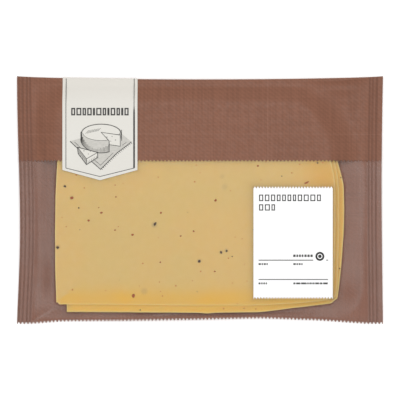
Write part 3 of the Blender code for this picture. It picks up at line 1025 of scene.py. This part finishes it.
def creases(x, y):  # a long shallow tuck near the lower edge and two at the corners
    along = np.clip((x + 32 * mm) / (33 * mm), 0, 1)
    line = -74.2 * mm + 3.6 * mm * along - 2.4 * mm * along * (1 - along)
    tuck = np.exp(-((y - line) / (0.9 * mm)) ** 2) * np.sin(np.pi * along) ** 0.7
    corner = np.exp(-((y + 76.5 * mm - 0.62 * (x + 104 * mm)) / (1.1 * mm)) ** 2)
    corner *= eased(x, -103 * mm, -106 * mm) * eased(x, -96 * mm, -88 * mm)
    return filmSheet["creaseHeight"] * (tuck + 0.5 * corner)


def placeFilm(x, y):
    laidX, laidY, height = frontPoint(x, y, 0.0)
    onSlices = readField(underSlices.astype(float), x, y)
    welds = eased(np.abs(x), sealInner - 2 * mm, sealInner) * eased(y, bottomY + 4 * mm, bottomY + 2 * mm)
    lift = filmSheet["lift"] + creases(x, y) * (1 - onSlices) * welds
    return laidX, pinkedEdge(x, y, laidY), height + lift


nearSlices = underSlices.astype(float)  # 1 over the stack, fading just outside its edge
for _ in range(4):
    nearSlices = evened(evened(nearSlices, 0), 1)


def standOff(x, y):
    below = readField(np.where(underSlices, bulk, backField), x, y)
    gap = readField(frontField, x, y) - below
    outside = 1 - readField(grown(underSlices).astype(float), x, y)
    amount = eased(gap, *filmSheet["gap"]) * outside
    for spotX, spotY, across, up in filmSheet["settled"]:
        near = np.hypot((x / mm - spotX) / across, (y / mm - spotY) / up)
        amount *= 1 - filmSheet["settling"] * eased(near, 0.1, 1.15)
    amount += filmSheet["slung"] * readField(nearSlices, x, y) * outside  # slung from the stack's edge, and painted light that lifts the shade beside the stack
    # painted highlight along the film's creases
    amount += filmSheet["creased"] * creases(x, y) / filmSheet["creaseHeight"] * outside
    # hazy over the welds, clearer in their grooves, which paints shade into them
    weld = eased(np.abs(x), sealInner + 0.4 * mm, sealInner - 0.4 * mm)
    return amount * (1 - weld) + weld * (filmSheet["weldHaze"] - filmSheet["grooveHaze"] * grooved(x))


filmRows = seamLines + evenly(seamLines[-1], backSheet["closeTo"], filmSheet["close"])
filmRows += evenly(backSheet["closeTo"], bandLow.y + filmSheet["underBand"], filmSheet["wide"])
filmPiece = gridPiece("frontFilm", columns, filmRows, placeFilm, clearFilm, {"standOff": standOff})
print("film laid")


# the brown band

band = {
    "lift": 0.26 * mm, "thickness": 0.12 * mm,
    "clear": 0.05 * mm,       # over the surface that the pack lies on
    "wrap": 1.2,              # how far it turns round the fold, in fold radii
    "toothShare": 0.7,        # its teeth are shallower than the bag's
    "rowSpacing": 3 * mm, "closeFrom": 46 * mm,
}


def placeBand(x, y):
    laidX, laidY, height = frontPoint(x, y, band["lift"])
    teeth = band["toothShare"] * pinking(x) * (y < bandLow.y + rowSlack)
    return laidX, laidY + teeth, np.maximum(height, band["thickness"] + band["clear"])


wrapLines = [topY + bag["foldRadius"] * share for share in (0.2, 0.5, 0.9, band["wrap"])]
bandRows = [bandLow.y, bandLow.y + 1.4 * mm]
bandRows += evenly(bandRows[-1], band["closeFrom"], band["rowSpacing"])
bandRows += foldLines(band["closeFrom"]) + wrapLines
bandPiece = gridPiece("topBand", columns, bandRows, placeBand, brownBandFilm, {"pressed": paintedWeldShade})
thickened(bandPiece, band["thickness"], False)
print("band folded over")


# the ribbon label

ribbon = {
    "thickness": 0.22 * mm, "lift": 0.60 * mm,
    "shoulder": 18.8 * mm, "tip": 12.4 * mm,  # how far down its corners and its point reach
    "straightFrom": 48 * mm,                  # rows slope towards the point below this
    "spacing": 1.2 * mm, "rowSpacing": 1.5 * mm, "closeFrom": 50 * mm,
}


def ribbonPoint(x, y):
    _, laidY, height = frontPoint(x, y, ribbon["lift"])
    drop = (ribbon["shoulder"] - ribbon["tip"]) * (1 - np.abs(x - ribbonMiddle) / ribbonHalf)
    return x, laidY - drop * eased(y, ribbon["shoulder"], ribbon["straightFrom"]), height


def ribbonHeight(x, y):
    return frontPoint(x, y, ribbon["lift"])[2] + ribbon["thickness"]


ribbonColumns = [ribbonLow.x] + evenly(ribbonLow.x, ribbonMiddle, ribbon["spacing"])
ribbonColumns += evenly(ribbonMiddle, ribbonHigh.x, ribbon["spacing"])
ribbonRows = [ribbon["shoulder"]] + evenly(ribbon["shoulder"], ribbon["closeFrom"], ribbon["rowSpacing"])
ribbonRows += foldLines(ribbon["closeFrom"])
ribbonPiece = gridPiece("ribbonLabel", ribbonColumns, ribbonRows, ribbonPoint, ribbonPaper)
thickened(ribbonPiece, ribbon["thickness"], False)
print("ribbon label hung")


# printing

def newPrint():
    return {"spots": [], "faces": []}


def fillShape(ink, outline, lift):  # each overlapping layer of ink has a lift of its own
    turn = sum(x0 * y1 - x1 * y0 for (x0, y0), (x1, y1) in zip(outline, outline[1:] + outline[:1]))
    outline = outline if turn > 0 else outline[::-1]
    start = len(ink["spots"])
    ink["spots"] += [(x, y, lift) for x, y in outline]
    ink["faces"].append(tuple(range(start, start + len(outline))))


def strokeShape(ink, path, width, lift, closed=False):
    path = [path[0]] + [q for p, q in zip(path, path[1:]) if math.dist(p, q) > 1e-6]
    path = np.array(path[:-1] if closed and math.dist(path[0], path[-1]) < 1e-6 else path, float)
    ahead, behind = np.roll(path, -1, 0) - path, path - np.roll(path, 1, 0)
    if not closed:
        ahead[-1], behind[0] = behind[-1], ahead[0]
    ahead /= np.linalg.norm(ahead, axis=1)[:, None]
    behind /= np.linalg.norm(behind, axis=1)[:, None]
    along = ahead + behind
    along /= np.linalg.norm(along, axis=1)[:, None]
    reach = 1 / np.clip((along * ahead).sum(1), 0.5, 1)
    widths = np.broadcast_to(np.asarray(width, float), len(path))
    side = np.column_stack([-along[:, 1], along[:, 0]]) * (reach * widths / 2)[:, None]
    start = len(ink["spots"])
    for spot, offset in zip(path, side):
        ink["spots"] += [(*(spot + offset), lift), (*(spot - offset), lift)]
    for k in range(len(path) if closed else len(path) - 1):
        a, b = start + 2 * k, start + 2 * ((k + 1) % len(path))
        ink["faces"].append((a, a + 1, b + 1, b))


def printPiece(name, ink, heightAt, material):  # shapes are in mm
    spots = [(x * mm, y * mm, heightAt(x * mm, y * mm) + lift * mm) for x, y, lift in ink["spots"]]
    return meshPiece(name, spots, ink["faces"], material)


def arc(cx, cy, rx, ry, start, end, steps):
    turns = [math.radians(start + (end - start) * k / steps) for k in range(steps + 1)]
    return [(cx + rx * math.cos(t), cy + ry * math.sin(t)) for t in turns]


def line(start, end, steps=1):
    return [
        (start[0] + (end[0] - start[0]) * k / steps, start[1] + (end[1] - start[1]) * k / steps)
        for k in range(steps + 1)
    ]


def box(x0, y0, x1, y1):
    return [(x0, y0), (x1, y0), (x1, y1), (x0, y1)]


drawing = {  # an engraved wheel with a wedge cut out, on a cloth; sizes in mm
    "middle": (ribbonMiddle / mm + 0.2, 35.4),
    "wheelAt": (0.6, 6.6), "wheelAcross": 12.3, "wheelDeep": 5.5, "wheelTall": 7.0,
    "cutFrom": -66, "cutTo": -14,         # degrees round the wheel
    "outline": 0.46, "fineOutline": 0.368, "hatch": 0.25,
    "clothFold": [(-18.9, 1.4), (-9.2, -7.8), (0.2, -16.2), (10.4, -6.0), (19.6, 1.0), (9.4, 9.4)],
    "clothHem": [(-16.2, 1.0), (-8.9, -5.9), (0.2, -13.6), (9.8, -4.2), (16.4, 0.8)],
    # how many strokes: the cloth's fringe, the wheel's side and face, its cut face, the wedge's two sides
    "fringe": 19, "sideStrokes": 44, "faceStrokes": 9, "cutStrokes": 5, "longStrokes": 10, "endStrokes": 6,
    # the loose wedge: its tip, its left and its low corner, and how thick it is
    "wedge": [(-1.6, -5.6), (-14.2, -2.4), (-8.6, -9.6)], "wedgeTall": 3.9,
    # crumbs: x, y, size
    "cutCrumbs": [(4.2, 4.0, 0.42), (7.4, 4.4, 0.34), (9.6, 2.2, 0.40), (6.6, 1.4, 0.30)],
    "wedgeCrumbs": [(-10.2, -4.6, 0.40), (-7.4, -6.6, 0.34), (-6.2, -4.9, 0.28)],
}


def onDrawing(points):
    x, y = drawing["middle"]
    return [(x + px, y + py) for px, py in points]


def engrave(ink, path, width, lift, closed=False):
    strokeShape(ink, onDrawing(path), width, lift, closed)


def tint(ink, outline, lift):
    fillShape(ink, onDrawing(outline), lift)


def drawCloth(lines, shaded):
    edge, hatch = drawing["clothFold"], drawing["hatch"]
    tint(shaded, edge, 0.06)
    engrave(lines, edge[:5], drawing["outline"], 0.10)
    engrave(lines, drawing["clothHem"], hatch, 0.10)
    (startX, startY), width, height = edge[2], edge[4][0] - edge[2][0], edge[4][1] - edge[2][1]
    for k in range(drawing["fringe"]):
        share = (k + 0.5) / drawing["fringe"]
        x, y = startX + width * share, startY + height * share + 0.9 * math.sin(math.pi * share)
        engrave(lines, [(x, y), (x + 0.75, y - 0.85)], hatch, 0.10)


def drawWheel(lines, strokes, shaded, light):
    cx, cy = drawing["wheelAt"]
    rx, ry, tall = drawing["wheelAcross"], drawing["wheelDeep"], drawing["wheelTall"]
    outlineWidth, hatch = drawing["outline"], drawing["hatch"]
    sideY, sideRy = cy - tall / 2, ry + tall / 2
    body = arc(cx, cy, rx, ry, 0, 180, 24) + arc(cx, sideY, rx * 1.05, sideRy, 186, 354, 30)
    tint(shaded, body, 0.08)
    tint(light, arc(cx, cy + 0.2, rx * 0.94, ry * 0.90, 0, 360, 36)[:-1], 0.09)
    engrave(lines, body, outlineWidth, 0.12, closed=True)
    engrave(lines, arc(cx, cy + 0.2, rx * 0.94, ry * 0.90, 185, 355, 24), hatch, 0.11)
    for k in range(drawing["sideStrokes"]):  # round the side, closer and longer in the shade
        turn = math.radians(186 + 168 * k / (drawing["sideStrokes"] - 1))
        if drawing["cutFrom"] - 2 < math.degrees(turn) - 360 < drawing["cutTo"] + 2:
            continue
        x, y = cx + rx * 1.04 * math.cos(turn), sideY + sideRy * math.sin(turn) + 0.3
        deep = abs(math.cos(turn + 0.35)) ** 1.5
        length = tall * (0.28 + 0.62 * deep) * (0.85 + 0.15 * (k % 2))
        engrave(strokes, [(x, y), (x * 0.995, y + length)], 0.26 + 0.28 * deep, 0.10)
    for k in range(drawing["faceStrokes"]):
        x = cx - rx * 0.80 + 0.95 * k
        engrave(strokes, [(x, cy - 0.6 + 0.22 * k), (x + 2.0, cy + 1.7 + 0.16 * k)], hatch, 0.10)
    # where the wedge was: the cloth below and the far cut face
    start, end = math.radians(drawing["cutFrom"]), math.radians(drawing["cutTo"])
    hub = (cx, cy + 0.4)
    near = (cx + rx * math.cos(start), cy + ry * math.sin(start))
    far = (cx + rx * math.cos(end), cy + ry * math.sin(end))
    nearFoot, farFoot = (near[0], near[1] - tall), (far[0], far[1] - tall)
    inner = (near[0], hub[1] - tall + (farFoot[1] - hub[1] + tall) * (near[0] - cx) / (far[0] - cx))
    outside = arc(cx, cy - tall, rx * 1.10, ry * 1.22, drawing["cutFrom"] - 3, drawing["cutTo"] + 6, 8)
    tint(shaded, [hub, near, nearFoot] + outside[1:] + [far], 0.125)
    tint(light, [hub, near, inner, farFoot, far], 0.13)
    engrave(lines, [far, hub, near, nearFoot], outlineWidth, 0.15)
    engrave(lines, [far, farFoot, inner], drawing["fineOutline"], 0.15)
    for k in range(drawing["cutStrokes"]):
        x = near[0] + 0.5 + 1.15 * k
        engrave(strokes, [(x, near[1] - 1.6 - 0.25 * k), (x, inner[1] + 0.5 - 0.2 * k)], hatch, 0.14)
    for x, y, size in drawing["cutCrumbs"]:
        tint(strokes, arc(x, y, size, size * 0.8, 0, 360, 10)[:-1], 0.14)


def drawWedge(lines, strokes, shaded, light):  # the piece lying in front
    tip, left, low = drawing["wedge"]
    drop, hatch, fine = drawing["wedgeTall"], drawing["hatch"], drawing["fineOutline"]
    leftFoot = (left[0] + 0.4, left[1] - drop)
    lowFoot, tipFoot = (low[0], low[1] - drop * 0.92), (tip[0], tip[1] - drop * 0.8)
    tint(light, [tip, left, low], 0.17)
    tint(shaded, [left, leftFoot, lowFoot, low], 0.17)
    tint(light, [low, lowFoot, tipFoot, tip], 0.17)
    engrave(lines, [tip, left, leftFoot, lowFoot, tipFoot], drawing["outline"], 0.20, closed=True)
    engrave(lines, [left, low, tip], fine, 0.20)
    engrave(lines, [low, lowFoot], fine, 0.20)
    for k in range(drawing["longStrokes"]):
        share = (k + 0.6) / (drawing["longStrokes"] + 0.4)
        x, y = left[0] + (low[0] - left[0]) * share, left[1] + (low[1] - left[1]) * share
        engrave(strokes, [(x, y - 0.4), (x + 0.1, y - drop * (0.62 + 0.22 * (k % 2)))], 0.26, 0.19)
    for k in range(drawing["endStrokes"]):
        along = 1.0 + 1.05 * k
        x, y = low[0] + along, low[1] + 0.57 * along
        engrave(strokes, [(x, y - 1.7), (x, y - drop * 0.84)], hatch, 0.19)
    for x, y, size in drawing["wedgeCrumbs"]:
        tint(strokes, arc(x, y, size, size * 0.7, 0, 360, 10)[:-1], 0.19)


ribbonPrint = {  # frames and bars where a word would be, inside a thin border; sizes in mm
    "widths": [2.5, 3.1, 2.2, 2.8, 1.3, 3.3, 2.2, 1.3, 2.9, 2.2, 1.3, 2.6],
    "top": 57.7, "tall": 4.7, "gap": 0.75, "frameLine": 0.82,
    "borderLeft": 2.2, "borderRight": 2.1, "borderTop": 76.3, "borderCorner": 1.2, "borderTip": 2.3,
    "border": 0.40,
    "thickBorder": 1.02, "thickBelow": (54, 60),  # the right line widened by painted shadow, fully thick at the first height
}


def drawRow(ink, left, low, tall, widths, gap, lift, frameLine=0.0):  # blocks, or open frames
    half = frameLine / 2
    for width in widths:
        if frameLine and width > 2.5 * frameLine:
            around = box(left + half, low + half, left + width - half, low + tall - half)
            strokeShape(ink, around, frameLine, lift, closed=True)
        else:
            fillShape(ink, box(left, low, left + width, low + tall), lift)
        left += width + gap


borderLines, wordBlocks = newPrint(), newPrint()
wheelShade, wheelTint, wheelPaper = newPrint(), newPrint(), newPrint()
leftLine = ribbonLow.x / mm + ribbonPrint["borderLeft"]
rightLine = ribbonHigh.x / mm - ribbonPrint["borderRight"]
topLine, thin = ribbonPrint["borderTop"], ribbonPrint["border"]
cornerLine = ribbon["shoulder"] / mm + ribbonPrint["borderCorner"]
tipSpot = (ribbonMiddle / mm, ribbon["tip"] / mm + ribbonPrint["borderTip"])
strokeShape(borderLines, line((leftLine, topLine), (leftLine, cornerLine), 60), thin, 0.09)
strokeShape(borderLines, line((leftLine, cornerLine), tipSpot), thin, 0.04)
strokeShape(borderLines, line(tipSpot, (rightLine, cornerLine)), thin, 0.04)
rightPath = line((rightLine, cornerLine), (rightLine, topLine), 60)  # thick from the word down: painted shadow along the label's right edge
extra = ribbonPrint["thickBorder"] - thin
rightWidths = [thin + extra * float(eased(y, *ribbonPrint["thickBelow"])) for _, y in rightPath]
strokeShape(wordBlocks, rightPath, rightWidths, 0.09)
wordWidth = sum(ribbonPrint["widths"]) + ribbonPrint["gap"] * (len(ribbonPrint["widths"]) - 1)
drawRow(
    wordBlocks, ribbonMiddle / mm - wordWidth / 2, ribbonPrint["top"] - ribbonPrint["tall"],
    ribbonPrint["tall"], ribbonPrint["widths"], ribbonPrint["gap"], 0.06, ribbonPrint["frameLine"],
)
drawCloth(borderLines, wheelTint)
drawWheel(borderLines, wheelShade, wheelTint, wheelPaper)
drawWedge(borderLines, wheelShade, wheelTint, wheelPaper)
ribbonPrints = [
    printPiece("ribbonLines", borderLines, ribbonHeight, greyInk),
    printPiece("ribbonBlocks", wordBlocks, ribbonHeight, darkInk),
    printPiece("wheelShade", wheelShade, ribbonHeight, midInk),
    printPiece("wheelTint", wheelTint, ribbonHeight, paleInk),
    printPiece("wheelPaper", wheelPaper, ribbonHeight, ribbonPaper),
]


# the price label

price = {
    "thickness": 0.25 * mm,
    "toothPitch": 1.85 * mm, "toothDepth": 1.4 * mm,
    "curl": 0.10 * mm,
    # the paper against its solid: narrower on the right, and its teeth reach past it above and below
    "trim": 0.35 * mm, "raised": 0.5 * mm, "lowered": 0.2 * mm,
    "toothRow": 1.8 * mm, "rowSpacing": 5 * mm,
    # rows of frames or blocks in mm: from the left edge, down from the top, height, gap, widths
    "titleLine": 0.62,
    "titleRows": [
        (3.5, 8.8, 4.1, 1.05, [2.6, 2.8, 2.6, 2.3, 2.3, 2.3, 2.0, 2.7, 3.1, 3.1, 2.4]),
        (3.5, 14.7, 3.9, 1.05, [2.6, 3.1, 2.2]),
    ],
    "smallRows": [
        (24.9, 43.8, 1.5, 0.5, [1.5, 1.1, 1.2, 1.1]), (31.9, 43.8, 1.5, 0.5, [1.4, 1.4, 1.4]),
        (3.2, 48.8, 1.1, 0.45, [1.4, 0.9, 1.3, 0.8]), (25.0, 48.8, 1.1, 0.45, [1.5, 0.9, 1.2, 0.8]),
        (3.2, 60.9, 1.1, 0.45, [1.2, 0.9, 1.0, 0.8]),
        (25.0, 60.9, 1.1, 0.45, [1.3, 2.6, 3.4, 1.0, 1.4, 1.3, 2.4, 1.6, 2.9]),
    ],
    # rules: from, to, down from the top, width
    "rules": [(3.2, 37.4, 45.8, 0.56), (45.6, 46.7, 45.8, 0.56), (3.2, 46.7, 57.9, 0.52)],
    # a plain dark disc with a pale ring in it
    "discAt": (41.6, 43.4), "disc": 2.8, "ring": 1.35, "ringLine": 0.5,
}
priceTop = priceHigh.z - 0.06 * mm


def priceHeight(x, y):
    across = (x - priceLow.x) / (priceHigh.x - priceLow.x) - 0.5
    return priceTop - price["curl"] * (2 * across) ** 4


def makePriceLabel():
    left, right = priceLow.x, priceHigh.x - price["trim"]
    upperEdge, lowerEdge = priceHigh.y + price["raised"], priceLow.y - price["lowered"]
    teeth = round((right - left) / price["toothPitch"])
    across = [left + (right - left) * k / (2 * teeth) for k in range(2 * teeth + 1)]
    up = [lowerEdge, lowerEdge + price["toothRow"]]
    up += evenly(up[-1], upperEdge - price["toothRow"], price["rowSpacing"]) + [upperEdge]

    def place(x, y):
        share = ((x - left) / (right - left) * teeth) % 1.0
        tooth = price["toothDepth"] * (1 - np.abs(2 * share - 1))
        lower = tooth * (y < lowerEdge + rowSlack)
        upper = (price["toothDepth"] - tooth) * (y > upperEdge - rowSlack)
        return x, y + lower - upper, priceHeight(x, y)

    piece = gridPiece("priceLabel", across, up, place, pricePaper)
    return thickened(piece, price["thickness"], True)


pricePiece = makePriceLabel()
priceDark, priceGrey, priceLight = newPrint(), newPrint(), newPrint()
labelLeft, labelTop = priceLow.x / mm, priceHigh.y / mm
for ink, rows, frameLine in ((priceDark, "titleRows", price["titleLine"]), (priceGrey, "smallRows", 0.0)):
    for across, down, tall, gap, widths in price[rows]:
        drawRow(ink, labelLeft + across, labelTop - down, tall, widths, gap, 0.04, frameLine)
for start, end, down, width in price["rules"]:
    y = labelTop - down
    strokeShape(priceGrey, line((labelLeft + start, y), (labelLeft + end, y), 6), width, 0.04)
discX, discY = labelLeft + price["discAt"][0], labelTop - price["discAt"][1]
fillShape(priceDark, arc(discX, discY, price["disc"], price["disc"], 0, 360, 32)[:-1], 0.04)
ring = arc(discX, discY, price["ring"], price["ring"], 0, 360, 24)[:-1]
strokeShape(priceLight, ring, price["ringLine"], 0.08, closed=True)
pricePrints = [
    printPiece("priceWords", priceDark, priceHeight, priceInk),
    printPiece("priceRules", priceGrey, priceHeight, greyInk),
    printPiece("priceRing", priceLight, priceHeight, pricePaper),
]
print("labels printed")


# what rides where

for piece in [backPiece, filmPiece, *slicePieces]:
    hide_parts("sealed_bag")
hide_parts("top_band")
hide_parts("ribbon_label")
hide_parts("price_label")
everyPiece = [backPiece, filmPiece, bandPiece, ribbonPiece, pricePiece, *slicePieces, *crumbPieces]
for piece in everyPiece + ribbonPrints + pricePrints:
    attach(piece, "root")


# studio

studio = {
    "worldStrength": 0.76,
    "keyPower": 4.4, "keySize": 0.8, "keyAt": (0.10, 0.36, 1.15),
    "fillPower": 1.4, "fillSize": 1.2, "fillAt": (-0.5, -0.5, 0.9),
    "lens": 400, "sensor": 36, "cameraHeight": 2.794,
    "floorDark": linear(250, 250, 250), "floorLight": linear(254, 254, 254), "floorGlow": 0.18,
    "floorReach": 8.0, "floorGap": 0.02 * mm,
}


def makeFloor():
    material, tree, shader, place = newMaterial("studioFloor", 0.7, 0.2)
    grain = noiseValue(tree, place, 300.0, 3.0)
    feed(
        tree, shader, BaseColor=blended(tree, grain, studio["floorDark"], studio["floorLight"]),
        EmissionColor=(1, 1, 1, 1), EmissionStrength=studio["floorGlow"],
    )
    reach = studio["floorReach"]
    corners = [(x, y, 0) for x, y in box(-reach, -reach, reach, reach)]
    floor = meshPiece("floor", corners, [(0, 1, 2, 3)], material)
    floor.location.z = -studio["floorGap"]


def makeLight(name, power, size, at):
    light = bpy.data.lights.new(name, "AREA")
    light.energy, light.size = power, size
    lamp = bpy.data.objects.new(name, light)
    lamp.location = at
    lamp.rotation_mode = "QUATERNION"
    lamp.rotation_quaternion = (-Vector(at)).to_track_quat("-Z", "Y")
    lamp.visible_camera = False
    bpy.context.scene.collection.objects.link(lamp)


def makeWorld():
    world = bpy.data.worlds.new("studio")
    world.use_nodes = True
    tree = world.node_tree
    seen = addNode(tree, "ShaderNodeLightPath").outputs["Is Camera Ray"]  # plain white behind the pack
    lit = studio["worldStrength"]
    strength = maths(tree, "MULTIPLY_ADD", seen, 1.0 - lit, lit)
    feed(tree, tree.nodes["Background"], Color=(1, 1, 1, 1), Strength=strength)
    bpy.context.scene.world = world


def makeCamera():
    lens = bpy.data.cameras.new("camera")
    lens.lens, lens.sensor_width = studio["lens"], studio["sensor"]
    camera = bpy.data.objects.new("camera", lens)
    camera.location = (0, 0, studio["cameraHeight"])
    bpy.context.scene.collection.objects.link(camera)
    bpy.context.scene.camera = camera


makeFloor()
makeLight("keyLight", studio["keyPower"], studio["keySize"], studio["keyAt"])
makeLight("fillLight", studio["fillPower"], studio["fillSize"], studio["fillAt"])
makeWorld()
makeCamera()
bpy.context.scene.view_settings.view_transform = "Standard"
print("studio set")
